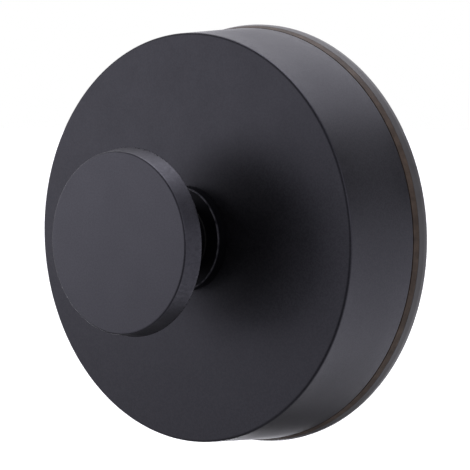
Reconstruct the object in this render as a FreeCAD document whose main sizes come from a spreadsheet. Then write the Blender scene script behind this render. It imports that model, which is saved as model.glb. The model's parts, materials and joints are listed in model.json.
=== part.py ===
import FreeCAD, Part
import math
import os
import Sketcher

# A round suction wall hook. A bell cover with a mushroom knob stands on a soft suction cup.
# Turning the knob draws a stud and the middle of the cup away from the wall, while the cover
# presses the cup's lip against it.
#
# Row frame: +Z up, origin at the middle of the wall side, wall in the plane Y = 0, front towards -Y.
# Each piece is modelled upright on its own local Z axis, which points away from the wall, and its
# Placement turns it into the row frame at its own seat. "Depth" is the distance from the wall.

DIMENSIONS = {
    # suction cup
    "cup_radius": 33.8,
    "lip_thickness": 1.85,
    "lip_rounding": 0.45,
    "land_inner_radius": 25.0,
    "dome_height": 3.4,
    "dome_flat_radius": 8.0,
    "membrane_outer_radius": 24.0,
    "membrane_top": 5.0,
    "hub_foot_radius": 10.2,
    "hub_radius": 9.0,
    "hub_top": 7.6,
    "moulding_gap": 0.1,
    # seal ring between cup and cover
    "seal_outer_radius": 33.55,
    "seal_inner_radius": 27.0,
    "seal_thickness": 1.0,
    "seal_rounding": 0.3,
    # cover
    "cover_gap": 0.1,
    "cover_rear_radius": 33.2,
    "cover_face_radius": 32.0,
    "cover_face_depth": 17.0,
    "cover_wall": 1.2,
    "cover_edge_rounding": 0.4,
    "cover_rim_rounding": 0.15,
    "cover_hole_radius": 6.3,
    "boss_radius": 2.6,
    "boss_length": 3.2,
    "pilot_radius": 1.05,
    "pilot_depth": 2.8,
    # pressure plate
    "foot_radius": 31.4,
    "foot_thickness": 1.6,
    "skirt_radius": 30.5,
    "skirt_wall": 1.8,
    "web_thickness": 2.0,
    "rib_thickness": 1.4,
    "rib_inner_radius": 11.0,
    "rib_knee_radius": 26.0,
    "rib_inner_height": 1.75,
    "rib_outer_height": 4.75,
    "rib_overlap": 0.5,
    "rib_count": 12,
    # plate screws
    "screw_count": 3,
    "screw_circle_radius": 20.0,
    "screw_first_angle": 15.0,
    "screw_hole_radius": 1.35,
    "screw_head_radius": 2.2,
    "screw_head_height": 1.3,
    "screw_shank_radius": 1.0,
    "screw_length": 4.5,
    "screw_recess_width": 0.7,
    "screw_recess_length": 2.6,
    "screw_recess_depth": 0.7,
    # guide bush
    "guide_radius": 5.0,
    "guide_bore_radius": 3.1,
    "guide_flats": 5.2,
    "fit_gap": 0.03,
    # collar, its nut, washer and bearing sleeve
    "collar_radius": 8.2,
    "collar_height": 2.0,
    "collar_rounding": 0.25,
    "collar_shank_radius": 6.2,
    "collar_bore_radius": 5.27,
    "nut_thickness": 1.0,
    "nut_circumradius": 9.8,
    "collar_washer_radius": 8.6,
    "collar_washer_thickness": 0.4,
    "sleeve_bore_radius": 4.56,
    "thrust_washer_radius": 5.7,
    "thrust_washer_thickness": 0.35,
    # knob
    "knob_face_radius": 13.8,
    "knob_rear_radius": 14.45,
    "knob_thickness": 3.1,
    "knob_face_rounding": 0.3,
    "knob_rear_rounding": 0.12,
    "spigot_length": 2.4,
    "neck_radius": 5.75,
    "neck_length": 10.5,
    "neck_bore_radius": 4.0,
    "journal_radius": 4.5,
    "journal_bore_radius": 3.25,
    "journal_length": 6.45,
    "shoulder_gap": 0.05,
    "shoulder_wall": 0.4,
    "drive_nut_length": 3.2,
    "drive_nut_bore_radius": 3.05,
    "drive_nut_chamfer": 0.3,
    "grub_radius": 1.45,
    "grub_length": 1.93,
    "grub_start_radius": 3.62,
    "grub_socket_circumradius": 0.87,
    "grub_socket_depth": 1.0,
    # retaining clip and its washer
    "clip_thickness": 0.6,
    "clip_radius": 6.0,
    "clip_groove_radius": 3.9,
    "clip_groove_width": 0.7,
    "clip_wrap": 300.0,
    "clip_washer_radius": 6.1,
    "clip_washer_thickness": 0.28,
    # stud, anchor plate and stop ring
    "stud_radius": 3.0,
    "stud_flats": 5.0,
    "stud_flat_start": 7.7,
    "stud_head_radius": 4.2,
    "stud_head_depth": 4.2,
    "stud_head_height": 0.4,
    "stud_tip_depth": 24.1,
    "stud_tip_chamfer": 0.4,
    "anchor_radius": 7.0,
    "anchor_thickness": 1.2,
    "anchor_hole_radius": 0.9,
    "anchor_hole_circle": 5.1,
    "anchor_hole_count": 6,
    "stop_ring_radius": 3.75,
    "stop_ring_thickness": 0.5,
    "stop_groove_radius": 2.5,
    "stop_groove_width": 0.56,
    "stop_gap": 0.1,
}

FACING_OUT = FreeCAD.Rotation(FreeCAD.Vector(1, 0, 0), 90)

# How a sketch names its axes, its origin and the points of a line or circle.
ON_V_AXIS = -2
ON_H_AXIS = -1
SKETCH_ORIGIN = (-1, 1)
START = 1
END = 2
CENTRE = 3


class Size:
    """A number together with the spreadsheet expression that it comes from."""

    def __init__(self, value, text):
        self.value = value
        self.text = text

    def __add__(self, other):
        return Size(self.value + other.value, f"({self.text} + {other.text})")

    def __sub__(self, other):
        return Size(self.value - other.value, f"({self.text} - {other.text})")

    def times(self, number):
        return Size(self.value * number, f"({self.text} * {number})")

    def bind(self, thing, path):
        thing.setExpression(path, self.text)


class Sizes:
    """The driving dimensions, held in the document's spreadsheet and read by their names."""

    def __init__(self, document):
        sheet = document.addObject("Spreadsheet::Sheet", "Dimensions")
        for row, (name, value) in enumerate(DIMENSIONS.items(), 1):
            sheet.set(f"A{row}", name)
            sheet.set(f"B{row}", str(value))
            sheet.setAlias(f"B{row}", name)
            setattr(self, name, Size(value, f"Dimensions.{name}"))
        document.recompute()


doc = FreeCAD.newDocument("WallHook")
d = Sizes(doc)
ZERO = Size(0.0, "0")

# Depths where pieces meet, worked out from the wall outwards.
seal_seat = d.lip_thickness
plate_seat = seal_seat + d.seal_thickness
cover_rear = plate_seat + d.cover_gap
cover_inside = d.cover_face_depth - d.cover_wall
collar_washer_seat = cover_inside - d.collar_washer_thickness
collar_rear = collar_washer_seat - d.nut_thickness
collar_front = d.cover_face_depth + d.collar_height
shoulder_depth = collar_front + d.thrust_washer_thickness + d.shoulder_gap
journal_end = shoulder_depth - d.journal_length
neck_front = shoulder_depth + d.neck_length
drive_nut_seat = shoulder_depth + d.shoulder_wall
web_front = cover_inside - d.boss_length
web_rear = web_front - d.web_thickness
anchor_seat = d.stud_head_depth + d.stud_head_height
clip_washer_seat = collar_rear - d.shoulder_gap - d.clip_washer_thickness
clip_seat = clip_washer_seat - d.shoulder_gap - d.clip_thickness
stop_ring_seat = drive_nut_seat + d.drive_nut_length + d.stop_gap

sub_parts = []


def seat_on_axis(thing, seat):
    """Puts a piece on the hook's axis, its origin at this depth and its Z axis away from the wall."""
    thing.Placement = FreeCAD.Placement(FreeCAD.Vector(0, -seat.value, 0), FACING_OUT)
    thing.setExpression("Placement.Base.y", f"-{seat.text}")


def new_body(label, seat):
    body = doc.addObject("PartDesign::Body", label)
    body.Label = label
    seat_on_axis(body, seat)
    sub_parts.append(body)
    return body


def new_sketch(body, role, name, offset=ZERO):
    """A sketch on one of the body's own origin planes, or standing off it by offset."""
    sketch = body.newObject("Sketcher::SketchObject", name)
    planes = [f for f in body.Origin.OriginFeatures if f.Role == role]
    sketch.AttachmentSupport = (planes[0], [""])
    sketch.MapMode = "FlatFace"
    if offset.value:
        away = FreeCAD.Vector(0, 0, offset.value)
        sketch.AttachmentOffset = FreeCAD.Placement(away, FreeCAD.Rotation())
        offset.bind(sketch, "AttachmentOffset.Base.z")
    return sketch


def hold_point(sketch, line, point, across, up):
    """Holds a point of a line or circle at these two sizes from the sketch's origin."""
    for kind, distance, axis in (("DistanceX", across, ON_V_AXIS), ("DistanceY", up, ON_H_AXIS)):
        if distance.value == 0:
            sketch.addConstraint(Sketcher.Constraint("PointOnObject", line, point, axis))
        else:
            held = Sketcher.Constraint(kind, *SKETCH_ORIGIN, line, point, distance.value)
            index = sketch.addConstraint(held)
            distance.bind(sketch, f"Constraints[{index}]")


def draw_outline(sketch, corners):
    """A closed outline of straight lines through corners, each a pair of sizes."""
    points = [FreeCAD.Vector(across.value, up.value, 0) for across, up in corners]
    lines = []
    for start, end in zip(points, points[1:] + points[:1]):
        lines.append(sketch.addGeometry(Part.LineSegment(start, end), False))
    for line, following in zip(lines, lines[1:] + lines[:1]):
        sketch.addConstraint(Sketcher.Constraint("Coincident", line, END, following, START))
    for line, (across, up) in zip(lines, corners):
        hold_point(sketch, line, START, across, up)


def draw_circle(sketch, across, up, radius):
    centre = FreeCAD.Vector(across.value, up.value, 0)
    circle = sketch.addGeometry(Part.Circle(centre, FreeCAD.Vector(0, 0, 1), radius.value), False)
    hold_point(sketch, circle, CENTRE, across, up)
    index = sketch.addConstraint(Sketcher.Constraint("Radius", circle, radius.value))
    radius.bind(sketch, f"Constraints[{index}]")


def revolve(body, corners, name="Turned", wrap=None):
    """A turned shape: corners are (radius, height) pairs."""
    sketch = new_sketch(body, "XZ_Plane", f"{name}Profile")
    draw_outline(sketch, corners)
    turned = body.newObject("PartDesign::Revolution", name)
    turned.Profile = sketch
    turned.ReferenceAxis = (sketch, ["V_Axis"])
    turned.Angle = 360 if wrap is None else wrap.value
    if wrap is not None:
        wrap.bind(turned, "Angle")
    doc.recompute()
    return turned


def turned_ring(label, seat, inner, outer, length, wrap=None):
    """A plain ring, washer or sleeve."""
    body = new_body(label, seat)
    corners = [(inner, ZERO), (outer, ZERO), (outer, length), (inner, length)]
    revolve(body, corners, wrap=wrap)
    return body


def volume_of(body):
    doc.recompute()
    return body.Shape.Volume


def cut_and_check(body, feature, before):
    """A cut that removes nothing points the wrong way."""
    if volume_of(body) >= before:
        raise RuntimeError(f"{body.Label}: {feature.Name} removes nothing")


def drill(body, role, across, up, radius, length, start=ZERO, reverse=False, name="Hole"):
    """A round blind or through hole, cut from a plane that stands off the origin plane by start."""
    before = volume_of(body)
    sketch = new_sketch(body, role, f"{name}Sketch", start)
    draw_circle(sketch, across, up, radius)
    hole = body.newObject("PartDesign::Pocket", name)
    hole.Profile = sketch
    hole.Length = length.value
    length.bind(hole, "Length")
    hole.Reversed = reverse
    cut_and_check(body, hole, before)
    return hole


def repeat_round(body, feature, count, name):
    """Repeats a feature evenly round the body's Z axis."""
    axes = [f for f in body.Origin.OriginFeatures if f.Role == "Z_Axis"]
    pattern = body.newObject("PartDesign::PolarPattern", name)
    pattern.Originals = [feature]
    pattern.Axis = (axes[0], [""])
    pattern.Angle = 360
    pattern.Occurrences = int(count.value)
    count.bind(pattern, "Occurrences")
    body.Tip = pattern
    doc.recompute()
    return pattern


def circular_edges(shape, spots):
    """Names of the full-circle edges at these (radius, height) spots."""
    names = []
    for number, edge in enumerate(shape.Edges, 1):
        curve = edge.Curve
        if not isinstance(curve, Part.Circle):
            continue
        for radius, height in spots:
            same_radius = abs(curve.Radius - radius.value) < 1e-4
            same_height = abs(curve.Center.z - height.value) < 1e-4
            if same_radius and same_height:
                names.append(f"Edge{number}")
    if len(names) != len(spots):
        raise RuntimeError(f"found {len(names)} edges for {len(spots)} spots")
    return names


def dress(body, kind, feature, spots, amount, name):
    """Rounds (Fillet) or bevels (Chamfer) the circular edges at these spots."""
    dressed = body.newObject(f"PartDesign::{kind}", name)
    dressed.Base = (feature, circular_edges(feature.Shape, spots))
    path = "Radius" if kind == "Fillet" else "Size"
    setattr(dressed, path, amount.value)
    amount.bind(dressed, path)
    doc.recompute()
    return dressed


def primitive(kind, name, **measures):
    """A Part primitive whose named properties are bound to sizes."""
    made = doc.addObject(f"Part::{kind}", name)
    for path, measure in measures.items():
        setattr(made, path, measure.value)
        measure.bind(made, path)
    return made


def lift(thing, height):
    thing.Placement.Base.z = height.value
    height.bind(thing, "Placement.Base.z")
    return thing


def suction_cup():
    """Soft cup: flat sealing lip, domed membrane and a thick hub moulded round the anchor plate."""
    body = new_body("suction_cup", ZERO)
    anchor_room = d.anchor_radius + d.moulding_gap
    anchor_top = anchor_seat + d.anchor_thickness + d.moulding_gap
    anchor_floor = anchor_seat - d.moulding_gap
    head_room = d.stud_head_radius + d.moulding_gap
    head_floor = d.stud_head_depth - d.moulding_gap
    stud_room = d.stud_radius + d.moulding_gap
    corners = [
        (ZERO, d.dome_height),
        (d.dome_flat_radius, d.dome_height),
        (d.land_inner_radius, ZERO),
        (d.cup_radius, ZERO),
        (d.cup_radius, d.lip_thickness),
        (d.membrane_outer_radius, d.lip_thickness),
        (d.hub_foot_radius, d.membrane_top),
        (d.hub_radius, d.hub_top),
        (stud_room, d.hub_top),
        (stud_room, anchor_top),
        (anchor_room, anchor_top),
        (anchor_room, anchor_floor),
        (head_room, anchor_floor),
        (head_room, head_floor),
        (ZERO, head_floor),
    ]
    turned = revolve(body, corners)
    dress(body, "Fillet", turned, [(d.cup_radius, d.lip_thickness)], d.lip_rounding, "LipRounding")


def seal_ring():
    """Flat rubber ring that cushions the pressure plate's foot on the cup's lip."""
    body = new_body("seal_ring", seal_seat)
    corners = [
        (d.seal_inner_radius, ZERO),
        (d.seal_outer_radius, ZERO),
        (d.seal_outer_radius, d.seal_thickness),
        (d.seal_inner_radius, d.seal_thickness),
    ]
    turned = revolve(body, corners)
    spots = [(d.seal_outer_radius, d.seal_thickness)]
    dress(body, "Fillet", turned, spots, d.seal_rounding, "OuterRounding")


def cover_shell():
    """Bell cover: flat face, side wall flaring towards the wall, three screw bosses inside."""
    body = new_body("cover_shell", cover_rear)
    face = d.cover_face_depth - cover_rear
    inside = cover_inside - cover_rear
    rear_inner_radius = d.cover_rear_radius - d.cover_wall
    front_inner_radius = d.cover_face_radius - d.cover_wall
    corners = [
        (d.cover_rear_radius, ZERO),
        (d.cover_face_radius, face),
        (d.cover_hole_radius, face),
        (d.cover_hole_radius, inside),
        (front_inner_radius, inside),
        (rear_inner_radius, ZERO),
    ]
    turned = revolve(body, corners, "Bell")
    front_edge = [(d.cover_face_radius, face)]
    rear_edge = [(d.cover_rear_radius, ZERO)]
    rounded = dress(body, "Fillet", turned, front_edge, d.cover_edge_rounding, "FaceRounding")
    dress(body, "Fillet", rounded, rear_edge, d.cover_rim_rounding, "RimRounding")
    add_bosses(body, inside)


def first_screw_place():
    """Where the first plate screw stands, across and up from the axis."""
    radius = d.screw_circle_radius
    angle = math.radians(d.screw_first_angle.value)
    angle_text = f"{d.screw_first_angle.text} * 1 deg"
    across = Size(radius.value * math.cos(angle), f"({radius.text} * cos({angle_text}))")
    up = Size(radius.value * math.sin(angle), f"({radius.text} * sin({angle_text}))")
    return across, up


def add_bosses(body, inside):
    """Screw bosses on the inner face, each with a blind pilot hole."""
    before = volume_of(body)
    boss_end = inside - d.boss_length
    across, up = first_screw_place()
    sketch = new_sketch(body, "XY_Plane", "BossSketch", boss_end)
    draw_circle(sketch, across, up, d.boss_radius)
    boss = body.newObject("PartDesign::Pad", "Boss")
    boss.Profile = sketch
    reach = d.boss_length + d.cover_wall.times(0.5)
    boss.Length = reach.value
    reach.bind(boss, "Length")
    repeat_round(body, boss, d.screw_count, "Bosses")
    if volume_of(body) <= before:
        raise RuntimeError("cover_shell: the bosses add nothing")
    pilot = drill(body, "XY_Plane", across, up, d.pilot_radius, d.pilot_depth, boss_end, True, "Pilot")
    repeat_round(body, pilot, d.screw_count, "Pilots")


def pressure_plate():
    """Ribbed plate inside the cover: skirt and foot carry the cover's load to the cup's lip."""
    body = new_body("pressure_plate", plate_seat)
    top = cover_inside - plate_seat
    web_top = web_front - plate_seat
    web_bottom = web_rear - plate_seat
    skirt_inner_radius = d.skirt_radius - d.skirt_wall
    bush_hole_radius = d.guide_radius + d.fit_gap
    corners = [
        (d.seal_inner_radius, ZERO),
        (d.foot_radius, ZERO),
        (d.foot_radius, d.foot_thickness),
        (d.skirt_radius, d.foot_thickness),
        (d.skirt_radius, top),
        (skirt_inner_radius, top),
        (skirt_inner_radius, web_top),
        (bush_hole_radius, web_top),
        (bush_hole_radius, web_bottom),
        (skirt_inner_radius, web_bottom),
        (skirt_inner_radius, d.foot_thickness),
        (d.seal_inner_radius, d.foot_thickness),
    ]
    revolve(body, corners, "Wheel")
    add_ribs(body, web_bottom, skirt_inner_radius)
    across, up = first_screw_place()
    hole = drill(
        body, "XY_Plane", across, up, d.screw_hole_radius, d.web_thickness, web_bottom, True, "ScrewHole"
    )
    repeat_round(body, hole, d.screw_count, "ScrewHoles")


def add_ribs(body, web_bottom, skirt_inner_radius):
    """Radial ribs on the wall side of the web, deeper towards the skirt."""
    before = volume_of(body)
    sketch = new_sketch(body, "XZ_Plane", "RibProfile")
    rib_top = web_bottom + d.rib_overlap
    outer_end = skirt_inner_radius + d.rib_overlap
    corners = [
        (d.rib_inner_radius, rib_top),
        (d.rib_inner_radius, web_bottom - d.rib_inner_height),
        (d.rib_knee_radius, web_bottom - d.rib_outer_height),
        (outer_end, web_bottom - d.rib_outer_height),
        (outer_end, rib_top),
    ]
    draw_outline(sketch, corners)
    rib = body.newObject("PartDesign::Pad", "Rib")
    rib.Profile = sketch
    rib.Length = d.rib_thickness.value
    d.rib_thickness.bind(rib, "Length")
    rib.SideType = "Symmetric"
    repeat_round(body, rib, d.rib_count, "Ribs")
    if volume_of(body) <= before:
        raise RuntimeError("pressure_plate: the ribs add nothing")


def guide_bush():
    """Bush with a double-D hole: the stud slides in it and can't turn."""
    blank = primitive("Cylinder", "GuideBlank", Radius=d.guide_radius, Height=d.web_thickness)
    bore = primitive("Cylinder", "GuideBore", Radius=d.guide_bore_radius, Height=d.web_thickness)
    width = d.guide_bore_radius.times(3)
    slot = primitive("Box", "GuideFlats", Length=d.guide_flats, Width=width, Height=d.web_thickness)
    for path, measure in (("Placement.Base.x", d.guide_flats), ("Placement.Base.y", width)):
        slot.setExpression(path, f"-{measure.text} / 2")
    double_d = doc.addObject("Part::Common", "DoubleD")
    double_d.Base = bore
    double_d.Tool = slot
    bush = doc.addObject("Part::Cut", "guide_bush")
    bush.Base = blank
    bush.Tool = double_d
    finish_primitive(bush, "guide_bush", web_rear)


def finish_primitive(thing, label, seat):
    thing.Label = label
    seat_on_axis(thing, seat)
    sub_parts.append(thing)


def plate_screw(number):
    """Pan-head screw driven from the wall side, head against the web, with a cross recess."""
    head_height = d.screw_head_height
    head = primitive("Cylinder", f"ScrewHead{number}", Radius=d.screw_head_radius, Height=head_height)
    total = head_height + d.screw_length
    shank = primitive("Cylinder", f"ScrewShank{number}", Radius=d.screw_shank_radius, Height=total)
    blank = doc.addObject("Part::Fuse", f"ScrewBlank{number}")
    blank.Base = head
    blank.Tool = shank
    arms = []
    for arm, (length, width) in enumerate(
        ((d.screw_recess_length, d.screw_recess_width), (d.screw_recess_width, d.screw_recess_length))
    ):
        box = primitive(
            "Box", f"ScrewRecess{number}{arm}", Length=length, Width=width, Height=d.screw_recess_depth
        )
        box.setExpression("Placement.Base.x", f"-{length.text} / 2")
        box.setExpression("Placement.Base.y", f"-{width.text} / 2")
        arms.append(box)
    cross = doc.addObject("Part::Fuse", f"ScrewCross{number}")
    cross.Base = arms[0]
    cross.Tool = arms[1]
    screw = doc.addObject("Part::Cut", f"Screw{number}")
    screw.Base = blank
    screw.Tool = cross
    turn = f"({d.screw_first_angle.text} + 360 / {d.screw_count.text} * {number}) * 1 deg"
    screw.setExpression("Placement.Base.x", f"{d.screw_circle_radius.text} * cos({turn})")
    screw.setExpression("Placement.Base.y", f"{d.screw_circle_radius.text} * sin({turn})")
    return screw


def plate_screws():
    group = doc.addObject("Part::Compound", "plate_screws")
    group.Links = [plate_screw(number) for number in range(int(d.screw_count.value))]
    finish_primitive(group, "plate_screws", web_rear - d.screw_head_height)


def collar_flange():
    """Collar on the cover's face, with a shank through the cover's hole."""
    body = new_body("collar_flange", collar_rear)
    face = d.cover_face_depth - collar_rear
    front = collar_front - collar_rear
    corners = [
        (d.collar_bore_radius, ZERO),
        (d.collar_shank_radius, ZERO),
        (d.collar_shank_radius, face),
        (d.collar_radius, face),
        (d.collar_radius, front),
        (d.collar_bore_radius, front),
    ]
    turned = revolve(body, corners)
    dress(body, "Fillet", turned, [(d.collar_radius, front)], d.collar_rounding, "FrontRounding")


def collar_nut():
    """Thin hexagon nut behind the cover."""
    blank = primitive("Prism", "NutBlank", Circumradius=d.nut_circumradius, Height=d.nut_thickness)
    bore_radius = d.collar_shank_radius + d.fit_gap
    bore = primitive("Cylinder", "NutBore", Radius=bore_radius, Height=d.nut_thickness)
    nut = doc.addObject("Part::Cut", "collar_nut")
    nut.Base = blank
    nut.Tool = bore
    finish_primitive(nut, "collar_nut", collar_rear)


def knob_neck():
    """Turned neck with a journal that runs in the collar and a groove for the retaining clip."""
    body = new_body("knob_neck", journal_end)
    groove_rear = clip_seat - d.shoulder_gap - journal_end
    groove_front = groove_rear + d.clip_groove_width
    shoulder = shoulder_depth - journal_end
    bore_floor = drive_nut_seat - journal_end
    front = neck_front - journal_end
    corners = [
        (d.journal_bore_radius, ZERO),
        (d.journal_radius, ZERO),
        (d.journal_radius, groove_rear),
        (d.clip_groove_radius, groove_rear),
        (d.clip_groove_radius, groove_front),
        (d.journal_radius, groove_front),
        (d.journal_radius, shoulder),
        (d.neck_radius, shoulder),
        (d.neck_radius, front),
        (d.neck_bore_radius, front),
        (d.neck_bore_radius, bore_floor),
        (d.journal_bore_radius, bore_floor),
    ]
    revolve(body, corners)
    grub_height = bore_floor + d.drive_nut_length.times(0.5)
    grub_hole_radius = d.grub_radius + d.fit_gap
    reach = d.neck_radius.times(1.1)
    drill(body, "XZ_Plane", ZERO, grub_height, grub_hole_radius, reach, reverse=True, name="GrubHole")


def knob_disc():
    """Flat mushroom head, its side flaring towards the wall, on a spigot that screws into the neck."""
    body = new_body("knob_disc", neck_front - d.spigot_length)
    spigot_radius = d.neck_bore_radius - d.fit_gap
    back = d.spigot_length
    face = back + d.knob_thickness
    corners = [
        (ZERO, ZERO),
        (spigot_radius, ZERO),
        (spigot_radius, back),
        (d.knob_rear_radius, back),
        (d.knob_face_radius, face),
        (ZERO, face),
    ]
    turned = revolve(body, corners)
    face_edge = [(d.knob_face_radius, face)]
    rear_edge = [(d.knob_rear_radius, back)]
    rounded = dress(body, "Fillet", turned, face_edge, d.knob_face_rounding, "FaceRounding")
    dress(body, "Fillet", rounded, rear_edge, d.knob_rear_rounding, "RearRounding")


def drive_nut():
    """Brass nut held in the neck; its thread draws the stud."""
    body = new_body("drive_nut", drive_nut_seat)
    outer_radius = d.neck_bore_radius - d.fit_gap
    corners = [
        (d.drive_nut_bore_radius, ZERO),
        (outer_radius, ZERO),
        (outer_radius, d.drive_nut_length),
        (d.drive_nut_bore_radius, d.drive_nut_length),
    ]
    turned = revolve(body, corners)
    spots = [(outer_radius, ZERO), (outer_radius, d.drive_nut_length)]
    dress(body, "Chamfer", turned, spots, d.drive_nut_chamfer, "LeadBevels")
    spot_start = d.grub_start_radius - d.fit_gap
    spot_radius = d.grub_radius + d.fit_gap
    middle = d.drive_nut_length.times(0.5)
    reach = d.neck_bore_radius
    drill(body, "XZ_Plane", ZERO, middle, spot_radius, reach, spot_start, True, "GrubSpot")


def grub_screw():
    """Socket set screw through the underside of the neck, its tip in the drive nut's spot."""
    blank = primitive("Cylinder", "GrubBlank", Radius=d.grub_radius, Height=d.grub_length)
    socket = primitive(
        "Prism", "GrubSocket", Circumradius=d.grub_socket_circumradius, Height=d.grub_socket_depth
    )
    lift(socket, d.grub_length - d.grub_socket_depth)
    screw = doc.addObject("Part::Cut", "grub_screw")
    screw.Base = blank
    screw.Tool = socket
    screw.Label = "grub_screw"
    depth = drive_nut_seat + d.drive_nut_length.times(0.5)
    base = FreeCAD.Vector(0, -depth.value, -d.grub_start_radius.value)
    screw.Placement = FreeCAD.Placement(base, FreeCAD.Rotation(FreeCAD.Vector(1, 0, 0), 180))
    screw.setExpression("Placement.Base.y", f"-{depth.text}")
    screw.setExpression("Placement.Base.z", f"-{d.grub_start_radius.text}")
    sub_parts.append(screw)


def threaded_stud():
    """M6 stud with two flats: its head is under the anchor plate, its end carries the stop ring."""
    body = new_body("threaded_stud", d.stud_head_depth)
    tip = d.stud_tip_depth - d.stud_head_depth
    groove_rear = stop_ring_seat - d.stud_head_depth - d.fit_gap
    groove_front = groove_rear + d.stop_groove_width
    corners = [
        (ZERO, ZERO),
        (d.stud_head_radius, ZERO),
        (d.stud_head_radius, d.stud_head_height),
        (d.stud_radius, d.stud_head_height),
        (d.stud_radius, groove_rear),
        (d.stop_groove_radius, groove_rear),
        (d.stop_groove_radius, groove_front),
        (d.stud_radius, groove_front),
        (d.stud_radius, tip),
        (ZERO, tip),
    ]
    turned = revolve(body, corners)
    dress(body, "Chamfer", turned, [(d.stud_radius, tip)], d.stud_tip_chamfer, "TipBevel")
    mill_flats(body, tip)


def mill_flats(body, tip):
    """Two flats along the stud, from above the hub to the tip."""
    before = volume_of(body)
    start = d.stud_flat_start - d.stud_head_depth
    half_width = d.stud_flats.times(0.5)
    outside = d.stud_radius.times(1.2)
    for side, role in (("Right", 1), ("Left", -1)):
        sketch = new_sketch(body, "XZ_Plane", f"{side}FlatSketch")
        corners = [
            (half_width.times(role), start),
            (outside.times(role), start),
            (outside.times(role), tip.times(1.1)),
            (half_width.times(role), tip.times(1.1)),
        ]
        draw_outline(sketch, corners)
        flat = body.newObject("PartDesign::Pocket", f"{side}Flat")
        flat.Profile = sketch
        flat.SideType = "Symmetric"
        length = d.stud_radius.times(3)
        flat.Length = length.value
        length.bind(flat, "Length")
        cut_and_check(body, flat, before)
        before = volume_of(body)


def anchor_plate():
    """Perforated disc that the cup's hub is moulded round."""
    body = new_body("anchor_plate", anchor_seat)
    hole_radius = d.stud_radius + d.fit_gap
    corners = [
        (hole_radius, ZERO),
        (d.anchor_radius, ZERO),
        (d.anchor_radius, d.anchor_thickness),
        (hole_radius, d.anchor_thickness),
    ]
    revolve(body, corners)
    hole = drill(
        body, "XY_Plane", d.anchor_hole_circle, ZERO, d.anchor_hole_radius, d.anchor_thickness,
        reverse=True, name="Perforation",
    )
    repeat_round(body, hole, d.anchor_hole_count, "Perforations")


def build():
    suction_cup()
    seal_ring()
    pressure_plate()
    guide_bush()
    plate_screws()
    cover_shell()
    collar_flange()
    collar_nut()
    turned_ring(
        "collar_washer", collar_washer_seat, d.cover_hole_radius, d.collar_washer_radius,
        d.collar_washer_thickness,
    )
    sleeve_outer_radius = d.collar_bore_radius - d.fit_gap
    turned_ring(
        "neck_bush", collar_rear, d.sleeve_bore_radius, sleeve_outer_radius, collar_front - collar_rear
    )
    turned_ring(
        "thrust_washer", collar_front, d.sleeve_bore_radius, d.thrust_washer_radius,
        d.thrust_washer_thickness,
    )
    knob_disc()
    knob_neck()
    drive_nut()
    grub_screw()
    turned_ring(
        "retaining_clip", clip_seat, d.clip_groove_radius + d.fit_gap, d.clip_radius, d.clip_thickness,
        d.clip_wrap,
    )
    turned_ring(
        "clip_washer", clip_washer_seat, d.sleeve_bore_radius, d.clip_washer_radius,
        d.clip_washer_thickness,
    )
    threaded_stud()
    anchor_plate()
    turned_ring(
        "stop_ring", stop_ring_seat, d.stop_groove_radius + d.fit_gap, d.stop_ring_radius,
        d.stop_ring_thickness, d.clip_wrap,
    )
    doc.recompute()


def check_document():
    for thing in doc.Objects:
        if "Invalid" in thing.State or "Error" in thing.State:
            raise RuntimeError(f"{thing.Label} failed to build")
    for piece in sub_parts:
        if piece.Shape.isNull() or not piece.Shape.isValid():
            raise RuntimeError(f"{piece.Label} has no valid shape")


def export():
    os.makedirs("parts", exist_ok=True)
    for piece in sub_parts:
        piece.Shape.exportStep(f"parts/{piece.Label}.step")
        box = piece.Shape.BoundBox
        print(
            f"{piece.Label}: solids {len(piece.Shape.Solids)}, volume {piece.Shape.Volume:.1f} mm3, "
            f"Y {box.YMin:.2f} to {box.YMax:.2f}, Z {box.ZMin:.2f} to {box.ZMax:.2f}"
        )


build()
check_document()
export()
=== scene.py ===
import json
import math

import bmesh
import bpy
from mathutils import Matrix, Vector


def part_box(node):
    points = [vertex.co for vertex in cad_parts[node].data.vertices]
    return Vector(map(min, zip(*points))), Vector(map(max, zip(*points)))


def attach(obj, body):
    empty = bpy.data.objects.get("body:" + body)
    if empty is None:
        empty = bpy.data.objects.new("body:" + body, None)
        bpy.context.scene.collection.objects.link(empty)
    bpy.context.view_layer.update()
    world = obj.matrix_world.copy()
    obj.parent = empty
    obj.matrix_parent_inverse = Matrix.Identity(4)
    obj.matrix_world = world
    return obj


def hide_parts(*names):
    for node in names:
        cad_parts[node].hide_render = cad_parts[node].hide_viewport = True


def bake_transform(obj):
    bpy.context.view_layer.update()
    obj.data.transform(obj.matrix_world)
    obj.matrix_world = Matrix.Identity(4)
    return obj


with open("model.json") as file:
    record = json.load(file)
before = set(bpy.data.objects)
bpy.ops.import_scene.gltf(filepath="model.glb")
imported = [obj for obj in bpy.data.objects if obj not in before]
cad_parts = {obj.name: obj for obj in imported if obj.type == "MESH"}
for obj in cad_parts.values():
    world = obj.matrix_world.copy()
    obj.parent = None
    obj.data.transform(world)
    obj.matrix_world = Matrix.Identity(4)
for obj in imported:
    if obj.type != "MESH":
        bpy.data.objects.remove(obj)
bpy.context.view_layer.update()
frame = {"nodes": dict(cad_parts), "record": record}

# A round suction wall hook in matte black: bell cover on a soft cup, with a mushroom knob.
# The hook's own sizes are millimetres, and the camera, lights and floor are placed in metres.
# "Depth" is the distance from the wall, so a point at radius r, angle t and depth d is at
# (r cos t, -d, r sin t).

MM = 0.001
COVER_FACE_RADIUS = 32.0
KNOB_FACE_RADIUS = 13.8
COAT_TINT = (0.84, 0.83, 1.0, 1)

scene = bpy.context.scene


def depths(node):
    """The depths in mm where a node starts and ends, seen from the wall."""
    low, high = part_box(node)
    return -high[1] / MM, -low[1] / MM


def reach(node):
    """A round node's outer radius in mm."""
    low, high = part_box(node)
    return (high[0] - low[0]) / 2 / MM


# ------------------------------------------------------------------ camera


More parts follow.
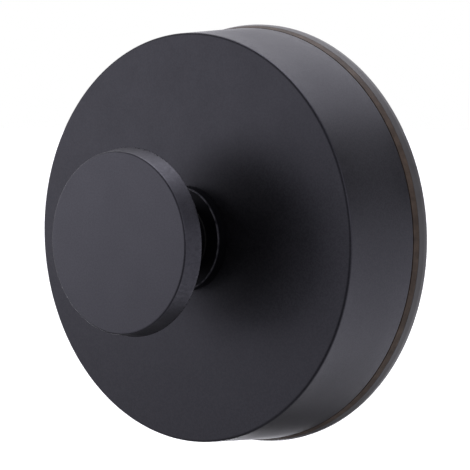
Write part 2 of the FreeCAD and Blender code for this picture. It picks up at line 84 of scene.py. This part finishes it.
def place_camera():
    """Looks from the right, a little above, and returns the direction from hook to camera."""
    azimuth, elevation = math.radians(40.28), math.radians(3.45)
    back = Vector(
        (
            math.sin(azimuth) * math.cos(elevation),
            -math.cos(azimuth) * math.cos(elevation),
            math.sin(elevation),
        )
    )
    right = Vector((0, 0, 1)).cross(back).normalized()
    up = back.cross(right)
    face_centre = Vector((0, -depths("cover_shell")[1] * MM, 0))
    distance = 0.32
    aim = face_centre + right * 7.47 * MM + up * 0.5 * MM
    camera = bpy.data.objects.new("Camera", bpy.data.cameras.new("Camera"))
    scene.collection.objects.link(camera)
    camera.location = aim + back * distance
    camera.rotation_euler = back.to_track_quat("Z", "Y").to_euler()
    camera.data.sensor_width = 36
    camera.data.lens = 156.7
    camera.data.clip_start = 0.01
    camera.data.clip_end = 100
    scene.camera = camera
    return back


# ------------------------------------------------------------------ node helpers


def add_node(tree, kind, **settings):
    """Adds a node to the tree and sets its properties."""
    node = tree.nodes.new(kind)
    for name, value in settings.items():
        setattr(node, name, value)
    return node


def connect(tree, value, socket):
    """Links a socket to another, or sets it to a plain value."""
    if isinstance(value, bpy.types.NodeSocket):
        tree.links.new(value, socket)
    else:
        socket.default_value = value


def calculate(tree, operation, first, second=0.0):
    """One arithmetic step on sockets or plain numbers."""
    node = add_node(tree, "ShaderNodeMath", operation=operation)
    connect(tree, first, node.inputs[0])
    connect(tree, second, node.inputs[1])
    return node.outputs[0]


def remap(tree, value, low, high, to_low=0.0, to_high=1.0):
    """Eases from to_low to to_high while the value goes from low to high."""
    node = add_node(tree, "ShaderNodeMapRange", interpolation_type="SMOOTHSTEP")
    connect(tree, value, node.inputs["Value"])
    for name, number in (
        ("From Min", low),
        ("From Max", high),
        ("To Min", to_low),
        ("To Max", to_high),
    ):
        node.inputs[name].default_value = number
    return node.outputs["Result"]


def noise(tree, place, size, detail=2.0, roughness=0.5):
    """Noise from 0 to 1 whose blobs are about this many mm across."""
    node = add_node(tree, "ShaderNodeTexNoise")
    tree.links.new(place, node.inputs["Vector"])
    node.inputs["Scale"].default_value = 1 / (size * MM)
    node.inputs["Detail"].default_value = detail
    node.inputs["Roughness"].default_value = roughness
    return node.outputs["Fac"]


def object_place(tree, stretch=(1, 1, 1)):
    """Object coordinates, or a stretched copy that gives noise a direction."""
    place = add_node(tree, "ShaderNodeTexCoord").outputs["Object"]
    if stretch == (1, 1, 1):
        return place
    mapping = add_node(tree, "ShaderNodeMapping")
    mapping.inputs["Scale"].default_value = stretch
    tree.links.new(place, mapping.inputs["Vector"])
    return mapping.outputs["Vector"]


def split_place(tree):
    """Object coordinates as three separate sockets."""
    parts = add_node(tree, "ShaderNodeSeparateXYZ")
    tree.links.new(object_place(tree), parts.inputs[0])
    return parts


def axis_radius(tree):
    """Distance in mm from the hook's axis."""
    parts = split_place(tree)
    across = calculate(tree, "MULTIPLY", parts.outputs["X"], parts.outputs["X"])
    upward = calculate(tree, "MULTIPLY", parts.outputs["Z"], parts.outputs["Z"])
    total = calculate(tree, "SQRT", calculate(tree, "ADD", across, upward))
    return calculate(tree, "MULTIPLY", total, 1 / MM)


def axis_depth(tree):
    """Depth in mm from the wall."""
    return calculate(tree, "MULTIPLY", split_place(tree).outputs["Y"], -1 / MM)


def blend_colours(tree, amount, first, second):
    """Blends two colours, each a socket or three numbers."""
    node = add_node(tree, "ShaderNodeMix", data_type="RGBA")
    connect(tree, amount, node.inputs["Factor"])
    for socket, colour in (("A", first), ("B", second)):
        connect(tree, (*colour, 1) if isinstance(colour, tuple) else colour, node.inputs[socket])
    return node.outputs["Result"]


def new_material(name, **constants):
    """A node material whose named shader sockets hold constants."""
    material = bpy.data.materials.new(name)
    material.use_nodes = True
    tree = material.node_tree
    shader = tree.nodes["Principled BSDF"]
    for socket, value in constants.items():
        shader.inputs[socket.replace("_", " ")].default_value = value
    return material, tree, shader


def add_bump(tree, shader, layers):
    """Stacks height fields, each a socket and its depth in mm, into the shader's normal."""
    normal = None
    for height, depth in layers:
        bump = add_node(tree, "ShaderNodeBump")
        bump.inputs["Strength"].default_value = 1.0
        bump.inputs["Distance"].default_value = depth * MM
        tree.links.new(height, bump.inputs["Height"])
        if normal is not None:
            tree.links.new(normal, bump.inputs["Normal"])
        normal = bump.outputs["Normal"]
    tree.links.new(normal, shader.inputs["Normal"])


# ------------------------------------------------------------------ materials


def powder_coat(name, dark, light, rough, ior, edges=(), painted_edge_highlight_colour=None):
    """Fine matte coat: powder grain, slow roughness drift, and places by the edges smoothed by rubbing.

    Each edge is its radius and how far the rubbing reaches to either side, in mm. Where an edge
    highlight colour is given, those places are also painted lighter, which is a painted highlight on
    the edge."""
    material, tree, shader = new_material(name, IOR=ior, Specular_Tint=COAT_TINT)
    place = object_place(tree)
    fine = noise(tree, place, 0.26, 3)
    slow = noise(tree, place, 6.0, 3)
    cloud = noise(tree, place, 1.1, 4, 0.6)
    speckle = remap(tree, fine, 0.36, 0.64)
    tone = calculate(
        tree,
        "ADD",
        calculate(tree, "MULTIPLY", speckle, 0.8),
        calculate(tree, "MULTIPLY", slow, 0.2),
    )
    colour = blend_colours(tree, tone, dark, light)
    roughness = calculate(
        tree,
        "ADD",
        remap(tree, slow, 0.3, 0.7, rough - 0.012, rough + 0.012),
        remap(tree, cloud, 0.3, 0.7, -0.01, 0.01),
    )
    if edges:
        radius = axis_radius(tree)
        edge_bands = None
        for middle, half_width in edges:
            distance = calculate(tree, "ABSOLUTE", calculate(tree, "SUBTRACT", radius, middle))
            band = remap(tree, distance, 0, half_width, 1, 0)
            edge_bands = band if edge_bands is None else calculate(tree, "MAXIMUM", edge_bands, band)
        rubbed_and_painted_highlight = calculate(tree, "MULTIPLY", edge_bands, remap(tree, cloud, 0.36, 0.56))
        roughness = calculate(tree, "SUBTRACT", roughness, calculate(tree, "MULTIPLY", rubbed_and_painted_highlight, 0.07))
        # Painted highlight: where an edge highlight colour is given, the edge bands are painted lighter
        # to stand for the edge's bright line.
        if painted_edge_highlight_colour:
            colour = blend_colours(tree, rubbed_and_painted_highlight, colour, painted_edge_highlight_colour)
    tree.links.new(colour, shader.inputs["Base Color"])
    tree.links.new(roughness, shader.inputs["Roughness"])
    add_bump(tree, shader, [(cloud, 0.0009), (fine, 0.003)])
    return material


def knob_finish():
    """The knob's coat over turned metal: lathe lines and a faint mottle round its side."""
    material, tree, shader = new_material("KnobCoat", IOR=1.65, Specular_Tint=COAT_TINT)
    place = object_place(tree)
    fine = noise(tree, place, 0.26, 3)
    slow = noise(tree, place, 5.0, 3)
    turned = noise(tree, object_place(tree, (0.12, 1.0, 0.12)), 0.16, 2)
    mottle = noise(tree, object_place(tree, (1.0, 0.45, 1.0)), 0.55, 3, 0.6)
    dark, light = (0.0020, 0.0019, 0.0026), (0.0140, 0.0137, 0.0152)
    speckle = remap(tree, fine, 0.36, 0.64)
    tree.links.new(blend_colours(tree, speckle, dark, light), shader.inputs["Base Color"])
    radius = axis_radius(tree)
    side = remap(tree, radius, KNOB_FACE_RADIUS - 0.2, KNOB_FACE_RADIUS + 0.05)
    drift = remap(tree, slow, 0.3, 0.7, 0.395, 0.415)
    patches = calculate(tree, "MULTIPLY", remap(tree, mottle, 0.35, 0.65, -0.07, 0.04), side)
    roughness = calculate(tree, "ADD", drift, patches)
    rear_edge = reach("knob_disc")
    polished = remap(tree, radius, rear_edge - 0.15, rear_edge - 0.03, 0, 0.10)
    roughness = calculate(tree, "SUBTRACT", roughness, polished)
    tree.links.new(roughness, shader.inputs["Roughness"])
    add_bump(
        tree,
        shader,
        [
            (calculate(tree, "MULTIPLY", turned, side), 0.006),
            (calculate(tree, "MULTIPLY", mottle, side), 0.010),
            (fine, 0.003),
        ],
    )
    return material


def smoky_rubber():
    """Smoky, slightly clear cup rubber, glossier where it was moulded against polished steel."""
    material, tree, shader = new_material(
        "CupRubber",
        IOR=1.46,
        Transmission_Weight=0.15,
        Specular_Tint=(0.97, 0.97, 1.0, 1),
    )
    place = object_place(tree)
    fine = noise(tree, place, 0.25, 3)
    cloud = noise(tree, place, 3.0, 4, 0.6)
    dark, light = (0.070, 0.067, 0.067), (0.125, 0.121, 0.123)
    tree.links.new(blend_colours(tree, cloud, dark, light), shader.inputs["Base Color"])
    scuffs = noise(tree, object_place(tree, (1.0, 1.0, 5.0)), 1.4, 5, 0.7)
    rough = calculate(
        tree,
        "ADD",
        remap(tree, cloud, 0.3, 0.7, 0.30, 0.36),
        remap(tree, scuffs, 0.5, 0.75, 0, 0.10),
    )
    tree.links.new(rough, shader.inputs["Roughness"])
    add_bump(tree, shader, [(cloud, 0.010), (fine, 0.0015)])
    return material


def dark_rubber():
    """Brown-black seal rubber with a dusty bloom."""
    material, tree, shader = new_material("SealRubber", IOR=1.38)
    place = object_place(tree)
    fine = noise(tree, place, 0.2, 3)
    bloom = noise(tree, place, 2.2, 5, 0.65)
    dark, light = (0.045, 0.028, 0.018), (0.100, 0.068, 0.048)
    tree.links.new(
        blend_colours(tree, remap(tree, bloom, 0.3, 0.75), dark, light), shader.inputs["Base Color"]
    )
    tree.links.new(remap(tree, fine, 0.25, 0.75, 0.46, 0.60), shader.inputs["Roughness"])
    add_bump(tree, shader, [(bloom, 0.012), (fine, 0.004)])
    return material


def moulded(name, dark, light, rough):
    """Moulded plastic: spark-eroded grain with faint flow marks."""
    material, tree, shader = new_material(name, IOR=1.47)
    place = object_place(tree)
    fine = noise(tree, place, 0.14, 4)
    flow = noise(tree, object_place(tree, (1.0, 0.3, 0.6)), 4.5, 4, 0.6)
    tree.links.new(blend_colours(tree, flow, dark, light), shader.inputs["Base Color"])
    tree.links.new(remap(tree, flow, 0.3, 0.7, rough - 0.05, rough + 0.05), shader.inputs["Roughness"])
    add_bump(tree, shader, [(flow, 0.012), (fine, 0.003)])
    return material


def turned_metal(name, dark, light, rough):
    """Turned and plated metal: fine rings round the axis, faint stains."""
    material, tree, shader = new_material(name, Metallic=1.0)
    place = object_place(tree)
    radius = axis_radius(tree)
    rings = add_node(tree, "ShaderNodeCombineXYZ")
    tree.links.new(calculate(tree, "MULTIPLY", radius, 6.0), rings.inputs["X"])
    tree.links.new(calculate(tree, "MULTIPLY", axis_depth(tree), 6.0), rings.inputs["Y"])
    lines = add_node(tree, "ShaderNodeTexNoise")
    tree.links.new(rings.outputs[0], lines.inputs["Vector"])
    lines.inputs["Scale"].default_value = 2.0
    lines.inputs["Detail"].default_value = 3.0
    stain = noise(tree, place, 1.8, 5, 0.65)
    tree.links.new(
        blend_colours(tree, remap(tree, stain, 0.3, 0.7), dark, light), shader.inputs["Base Color"]
    )
    tree.links.new(
        calculate(
            tree,
            "ADD",
            remap(tree, lines.outputs["Fac"], 0.3, 0.7, rough - 0.06, rough + 0.06),
            remap(tree, stain, 0.4, 0.8, 0, 0.08),
        ),
        shader.inputs["Roughness"],
    )
    add_bump(tree, shader, [(lines.outputs["Fac"], 0.004), (stain, 0.003)])
    return material


def make_materials():
    """One material for each slot of the record, and a darker, duller copy of the coat for the knob's
    neck, which is painted shade for the recess between knob and collar.
    """
    return {
        "cover_coat": powder_coat(
            "CoverCoat",
            (0.0020, 0.0019, 0.0024),
            (0.0150, 0.0147, 0.0160),
            rough=0.43,
            ior=1.55,
            edges=((COVER_FACE_RADIUS, 0.5), (reach("cover_shell"), 0.4)),
        ),
        "knob_coat": knob_finish(),
        "collar_coat": powder_coat(
            "CollarCoat",
            (0.0012, 0.0012, 0.0018),
            (0.0026, 0.0026, 0.0034),
            rough=0.42,
            ior=1.36,
            edges=((reach("collar_flange") - 0.15, 0.15),),
            # Painted highlight: the flange's front edge is painted this lighter colour to stand for its
            # bright edge line.
            painted_edge_highlight_colour=(0.110, 0.108, 0.122),
        ),
        # Painted shade: the neck's coat is darker and duller than the knob's, standing for the shade in
        # the recess between knob and collar.
        "neck_painted_shade_coat": powder_coat(
            "NeckPaintedShadeCoat",
            (0.0008, 0.0008, 0.0010),
            (0.0016, 0.0016, 0.0020),
            rough=0.5,
            ior=1.25,
        ),
        "cup_rubber": smoky_rubber(),
        "seal_rubber": dark_rubber(),
        "plate_plastic": moulded("PlatePlastic", (0.010, 0.010, 0.011), (0.020, 0.020, 0.021), 0.5),
        "bearing_plastic": moulded("BearingPlastic", (0.003, 0.003, 0.003), (0.007, 0.007, 0.007), 0.5),
        "steel": turned_metal("PlatedSteel", (0.50, 0.50, 0.51), (0.63, 0.63, 0.64), 0.30),
        "black_steel": turned_metal("BlackSteel", (0.020, 0.020, 0.022), (0.042, 0.042, 0.045), 0.36),
        "brass": turned_metal("Brass", (0.60, 0.43, 0.17), (0.76, 0.58, 0.27), 0.28),
    }


# ------------------------------------------------------------------ mesh helpers


def soften(corners, closed):
    """Rounds a profile's corners. Each corner is (radius, depth, rounding) in mm.

    A guard point beside each arc keeps the straight runs flat when they are shaded smooth."""
    points = []
    count = len(corners)
    for number, (radius, depth, rounding) in enumerate(corners):
        here = Vector((radius, depth))
        at_end = not closed and number in (0, count - 1)
        if at_end or rounding <= 0:
            points.append(here)
            continue
        to_before = Vector(corners[number - 1][:2]) - here
        to_after = Vector(corners[(number + 1) % count][:2]) - here
        room = 0.48 * min(to_before.length, to_after.length)
        to_before.normalize()
        to_after.normalize()
        inner = to_before.angle(to_after)
        turn = math.pi - inner
        cut = min(rounding / math.tan(inner / 2), room)
        arc_radius = cut * math.tan(inner / 2)
        centre = here + (to_before + to_after).normalized() * arc_radius / math.sin(inner / 2)
        spoke = here + to_before * cut - centre
        side = 1 if to_before.x * to_after.y - to_before.y * to_after.x < 0 else -1
        guard = min(0.08, (room - cut) * 0.6)
        if guard > 0.005:
            points.append(here + to_before * (cut + guard))
        steps = max(2, math.ceil(turn / math.radians(15)))
        for step in range(steps + 1):
            angle = side * turn * step / steps
            points.append(
                centre
                + Vector(
                    (
                        spoke.x * math.cos(angle) - spoke.y * math.sin(angle),
                        spoke.x * math.sin(angle) + spoke.y * math.cos(angle),
                    )
                )
            )
        if guard > 0.005:
            points.append(here + to_after * (cut + guard))
    return points


def turn_profile(mesh, points, closed, segments=192, middle=(0.0, 0.0)):
    """Revolves a profile about an axis parallel to Y through middle, across and up in mm."""
    rings = []
    for radius, depth in points:
        if radius < 1e-6:
            rings.append([mesh.verts.new((middle[0] * MM, -depth * MM, middle[1] * MM))])
            continue
        ring = []
        for step in range(segments):
            angle = math.tau * step / segments
            across = middle[0] + radius * math.cos(angle)
            upward = middle[1] + radius * math.sin(angle)
            ring.append(mesh.verts.new((across * MM, -depth * MM, upward * MM)))
        rings.append(ring)
    pairs = list(zip(rings, rings[1:]))
    if closed:
        pairs.append((rings[-1], rings[0]))
    for first, second in pairs:
        for step in range(segments):
            after = (step + 1) % segments
            if len(first) == 1:
                mesh.faces.new((first[0], second[step], second[after]))
            elif len(second) == 1:
                mesh.faces.new((first[step], second[0], first[after]))
            else:
                mesh.faces.new((first[step], second[step], second[after], first[after]))


def finish_piece(name, mesh, body, slot, *stands_for):
    """Turns a bmesh into an object that rides on a body and stands for the CAD nodes named."""
    bmesh.ops.recalc_face_normals(mesh, faces=mesh.faces[:])
    data = bpy.data.meshes.new(name)
    mesh.to_mesh(data)
    mesh.free()
    data.polygons.foreach_set("use_smooth", [True] * len(data.polygons))
    data.set_sharp_from_angle(angle=math.radians(42))
    data.materials.append(materials[slot])
    piece = bpy.data.objects.new(name, data)
    scene.collection.objects.link(piece)
    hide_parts(*stands_for)
    if body:
        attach(piece, body)
    return piece


# ------------------------------------------------------------------ pieces


def make_cover():
    """Bell cover with its three screw bosses."""
    rear, face = depths("cover_shell")
    wall, hole_radius = 1.2, 6.3
    rear_radius = reach("cover_shell") + 0.01
    inside = face - wall
    mesh = bmesh.new()
    bell = [
        (rear_radius, rear, 0.05),
        (COVER_FACE_RADIUS, face, 0.4),
        (hole_radius, face, 0.1),
        (hole_radius, inside, 0.1),
        (COVER_FACE_RADIUS - wall, inside, 0.4),
        (rear_radius - wall, rear, 0.1),
    ]
    turn_profile(mesh, soften(bell, True), True, 256)
    pilot_radius, boss_radius, boss_length = 1.05, 2.6, 3.2
    boss_circle_radius, boss_count, first_angle = 20, 3, 15
    root = inside + 0.2
    boss = [
        (pilot_radius, inside - boss_length, 0.06),
        (boss_radius, inside - boss_length, 0.15),
        (boss_radius, root, 0),
        (pilot_radius, root, 0),
    ]
    for number in range(boss_count):
        angle = math.radians(first_angle + 360 / boss_count * number)
        middle = (boss_circle_radius * math.cos(angle), boss_circle_radius * math.sin(angle))
        turn_profile(mesh, soften(boss, True), True, 40, middle)
    finish_piece("Cover", mesh, "base", "cover_coat", "cover_shell")


def make_collar():
    """Flanged collar: its shank goes through the cover and its flange sits on the cover's face."""
    rear, front = depths("collar_flange")
    outer = reach("collar_flange")
    seat = depths("cover_shell")[1] + 0.01
    bore_radius, shank_radius = 5.27, 6.2
    mesh = bmesh.new()
    profile = [
        (bore_radius, rear, 0.08),
        (shank_radius, rear, 0.12),
        (shank_radius, seat, 0.06),
        (outer, seat, 0.08),
        (outer, front, 0.25),
        (bore_radius, front, 0.15),
    ]
    turn_profile(mesh, soften(profile, True), True, 160)
    finish_piece("Collar", mesh, "base", "collar_coat", "collar_flange")


def make_knob():
    """Mushroom head, its side flaring towards the wall, and the spigot behind it."""
    rear, front = depths("knob_disc")
    head_thickness, spigot_radius = 3.1, 3.97
    back = front - head_thickness
    mesh = bmesh.new()
    profile = [
        (0, rear, 0),
        (spigot_radius, rear, 0.2),
        (spigot_radius, back, 0.05),
        (reach("knob_disc"), back, 0.12),
        (KNOB_FACE_RADIUS, front, 0.28),
        (0, front, 0),
    ]
    turn_profile(mesh, soften(profile, False), False, 192)
    finish_piece("KnobHead", mesh, "knob", "knob_coat", "knob_disc")


def make_seal():
    """Seal ring, its edge leaning in to meet the cover's rim."""
    rear, front = depths("seal_ring")
    inner, outer, lean = 27.0, reach("seal_ring"), 0.3
    mesh = bmesh.new()
    profile = [
        (inner, rear, 0.1),
        (outer, rear, 0.03),
        (outer - lean, front, 0.06),
        (inner, front, 0.1),
    ]
    turn_profile(mesh, soften(profile, True), True, 256)
    finish_piece("SealRing", mesh, "base", "seal_rubber", "seal_ring")


def make_cup():
    """Cup with its sealing land, two fine sealing grooves, domed membrane and hub."""
    rim = reach("suction_cup")
    lip_thickness, rim_bend, rim_lean = 1.85, 0.85, 0.24
    dome_height, hub_top = 3.4, 7.6
    shank_hole, plate_room, head_room = 3.1, 7.1, 4.3
    plate_rear, plate_front, head_rear = 4.5, 5.9, 4.1
    half_groove, groove_depth = 0.15, 0.09
    grooves = []
    for middle in 28.1, 31.1:
        grooves += [
            (middle - half_groove, 0.0, 0.04),
            (middle, groove_depth, 0.03),
            (middle + half_groove, 0.0, 0.04),
        ]
    profile = [
        (0, dome_height, 0),
        (8.0, dome_height, 4.0),
        (25.0, 0.0, 3.0),
        *grooves,
        (rim, 0.0, 0.22),
        (rim, rim_bend, 0.5),
        (rim - rim_lean, lip_thickness, 0.06),
        (24.0, lip_thickness, 2.0),
        (10.2, 5.0, 1.0),
        (9.0, hub_top, 0.35),
        (shank_hole, hub_top, 0.1),
        (shank_hole, plate_front, 0),
        (plate_room, plate_front, 0),
        (plate_room, plate_rear, 0),
        (head_room, plate_rear, 0),
        (head_room, head_rear, 0),
        (0, head_rear, 0),
    ]
    mesh = bmesh.new()
    turn_profile(mesh, soften(profile, False), False, 256)
    cup = finish_piece("SuctionCup", mesh, None, "cup_rubber", "suction_cup")
    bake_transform(cup)


def stud_outline(rear, tip, thread_start, pitch, radius):
    """Rows along the stud: depth and radius in mm, and how deep the thread is cut, from 0 to 1."""
    head_radius, head_height, flat_start = 4.2, 0.4, 7.7
    groove_radius, rows_per_turn = 2.5, 12
    groove_rear, groove_front = depths("stop_ring")
    thread_end = tip - 0.35
    rows = [
        (rear, head_radius - 0.1, 0),
        (rear + 0.08, head_radius, 0),
        (rear + head_height - 0.06, head_radius, 0),
        (rear + head_height, head_radius - 0.1, 0),
        (rear + head_height + 0.01, radius, 0),
        (flat_start - 0.01, radius, 0),
        (flat_start, radius, 0),
        (thread_start - 0.2, radius - 0.02, 0),
    ]
    depth = thread_start
    while depth < thread_end:
        in_groove = groove_rear - 0.03 < depth < groove_front + 0.03
        fade = min(1.0, (depth - thread_start) / 0.8, (thread_end - depth) / 0.5)
        rows.append((depth, groove_radius, 0) if in_groove else (depth, radius, fade))
        depth += pitch / rows_per_turn
    return rows + [(tip - 0.3, radius - 0.1, 0), (tip, radius - 0.4, 0)]


def make_stud():
    """Stud with a rolled thread of 1 mm pitch, its two flats, head and stop-ring groove."""
    rear, tip = depths("threaded_stud")
    thread_start, pitch, shank_radius = 8.6, 1.0, 3.0
    segments, thread_depth, valley_floor = 64, 0.56, 0.86
    half_flats, flats_from = 2.5, 7.695
    mesh = bmesh.new()
    rings = []
    for depth, radius, cut in stud_outline(rear, tip, thread_start, pitch, shank_radius):
        ring = []
        for step in range(segments):
            angle = math.tau * step / segments
            phase = (depth / pitch - step / segments) % 1
            valley = max(0.0, 1 - abs(phase - 0.5) / 0.44)
            local = radius - thread_depth * min(valley, valley_floor) / valley_floor * cut
            across, upward = local * math.cos(angle), local * math.sin(angle)
            if depth > flats_from:
                across = max(-half_flats, min(half_flats, across))
            ring.append(mesh.verts.new((across * MM, -depth * MM, upward * MM)))
        rings.append(ring)
    for first, second in zip(rings, rings[1:]):
        for step in range(segments):
            after = (step + 1) % segments
            mesh.faces.new((first[step], second[step], second[after], first[after]))
    for ring, depth in ((rings[0], rear), (rings[-1], tip)):
        centre = mesh.verts.new((0, -depth * MM, 0))
        for step in range(segments):
            mesh.faces.new((ring[step], ring[(step + 1) % segments], centre))
    finish_piece("ThreadedStud", mesh, "stud", "steel", "threaded_stud")


def dress_cad_nodes(replaced):
    """Gives every CAD node that isn't replaced the procedural material of its slot, except the knob's
    neck, which gets a darker copy of the coat as painted shade.
    """
    for part in frame["record"]["subparts"]:
        if part["node"] in replaced:
            continue
        data = frame["nodes"][part["node"]].data
        # Painted shade: the knob's neck takes the darker neck coat in place of its slot's material.
        look = "neck_painted_shade_coat" if part["node"] == "knob_neck" else part["material_slot"]
        for number in range(len(data.materials)):
            data.materials[number] = materials[look]


# ------------------------------------------------------------------ studio


def make_floor():
    """Plain white floor well below the hook, glowing a little so that it stays white."""
    mesh = bmesh.new()
    height, half = -0.12, 12.0
    corners = [(-half, -half), (half, -half), (half, half), (-half, half)]
    mesh.faces.new([mesh.verts.new((x, y, height)) for x, y in corners])
    data = bpy.data.meshes.new("Floor")
    mesh.to_mesh(data)
    mesh.free()
    floor = bpy.data.objects.new("Floor", data)
    scene.collection.objects.link(floor)
    material, tree, shader = new_material(
        "FloorPaper",
        Specular_IOR_Level=0.0,
        Roughness=0.9,
        Emission_Color=(1, 1, 1, 1),
        Emission_Strength=0.4,
    )
    paper = noise(tree, object_place(tree), 3.0, 4)
    white = blend_colours(tree, paper, (0.93, 0.93, 0.93), (0.97, 0.97, 0.97))
    tree.links.new(white, shader.inputs["Base Color"])
    data.materials.append(material)
    floor.visible_glossy = False
    floor.visible_diffuse = False


def make_face_light(back):
    """A small soft box close by, up and to the left, that the hook's two flat faces reflect."""
    mirrored = Vector((-back.x, back.y, -back.z))
    face_centre = Vector((0, -depths("cover_shell")[1] * MM, 0))
    distance, shift = 0.2, Vector((-0.036, 0, 0.042))
    light = bpy.data.objects.new("FaceLight", bpy.data.lights.new("FaceLight", "AREA"))
    scene.collection.objects.link(light)
    light.data.shape = "DISK"
    light.data.size = 0.15
    light.data.energy = 0.07
    light.data.color = (0.97, 0.96, 1.0)
    light.location = face_centre + mirrored * distance + shift
    light.rotation_euler = (light.location - face_centre).to_track_quat("Z", "Y").to_euler()
    light.visible_camera = False


def make_world():
    """White studio behind the hook, lit most from above, and a dim room in front of it."""
    world = bpy.data.worlds.new("Studio")
    scene.world = world
    world.use_nodes = True
    tree = world.node_tree
    tree.nodes.clear()
    direction = add_node(tree, "ShaderNodeTexCoord").outputs["Generated"]

    def lobe(towards, inner, outer, amount):
        """A soft patch of light: the full amount within inner, fading to nothing at outer."""
        dot = add_node(tree, "ShaderNodeVectorMath", operation="DOT_PRODUCT")
        tree.links.new(direction, dot.inputs[0])
        dot.inputs[1].default_value = Vector(towards).normalized()
        edge, core = math.cos(math.radians(outer)), math.cos(math.radians(inner))
        return calculate(tree, "MULTIPLY", remap(tree, dot.outputs["Value"], edge, core), amount)

    # Each patch has a direction, an inner and an outer angle in degrees, and an amount. The bright
    # ones are added one after another, and the dark ones take their share of the total away.
    bright = (
        ((-0.68, -0.73, -0.04), 20, 60, 0.42),
        ((-0.15, 0.60, 0.79), 12, 40, 0.5),
        ((0.00, 0.12, 0.99), 8, 28, 3.0),
        ((-0.70, 0.69, -0.18), 11, 27, 2.6),
        ((0.38, 0.72, -0.56), 10, 30, 0.4),
        ((0.95, -0.24, 0.22), 8, 23, 1.1),
    )
    dark = (
        ((0.62, 0.64, 0.42), 8, 27, 0.9),
        ((-0.42, 0.66, -0.63), 8, 21, 0.9),
        ((-0.62, 0.10, -0.77), 10, 36, 0.85),
        ((0.02, 0.42, -0.90), 8, 26, 0.75),
    )
    total = calculate(tree, "ADD", 0.2, lobe((0, 1, 0), 75, 105, 0.75))
    for patch in bright:
        total = calculate(tree, "ADD", total, lobe(*patch))
    for patch in dark:
        keep = calculate(tree, "SUBTRACT", 1.0, lobe(*patch))
        total = calculate(tree, "MULTIPLY", total, keep)
    light = add_node(tree, "ShaderNodeBackground")
    light.inputs["Color"].default_value = (0.945, 0.935, 1, 1)
    tree.links.new(total, light.inputs["Strength"])
    plain = add_node(tree, "ShaderNodeBackground")
    plain.inputs["Color"].default_value = (1, 1, 1, 1)
    choose = add_node(tree, "ShaderNodeMixShader")
    tree.links.new(add_node(tree, "ShaderNodeLightPath").outputs["Is Camera Ray"], choose.inputs["Fac"])
    tree.links.new(light.outputs[0], choose.inputs[1])
    tree.links.new(plain.outputs[0], choose.inputs[2])
    output = add_node(tree, "ShaderNodeOutputWorld")
    tree.links.new(choose.outputs[0], output.inputs["Surface"])


materials = make_materials()
toward_camera = place_camera()
make_cover()
make_collar()
make_knob()
make_seal()
make_cup()
make_stud()
dress_cad_nodes(
    ("cover_shell", "collar_flange", "knob_disc", "seal_ring", "suction_cup", "threaded_stud")
)
make_floor()
make_face_light(toward_camera)
make_world()
scene.view_settings.view_transform = "Standard"
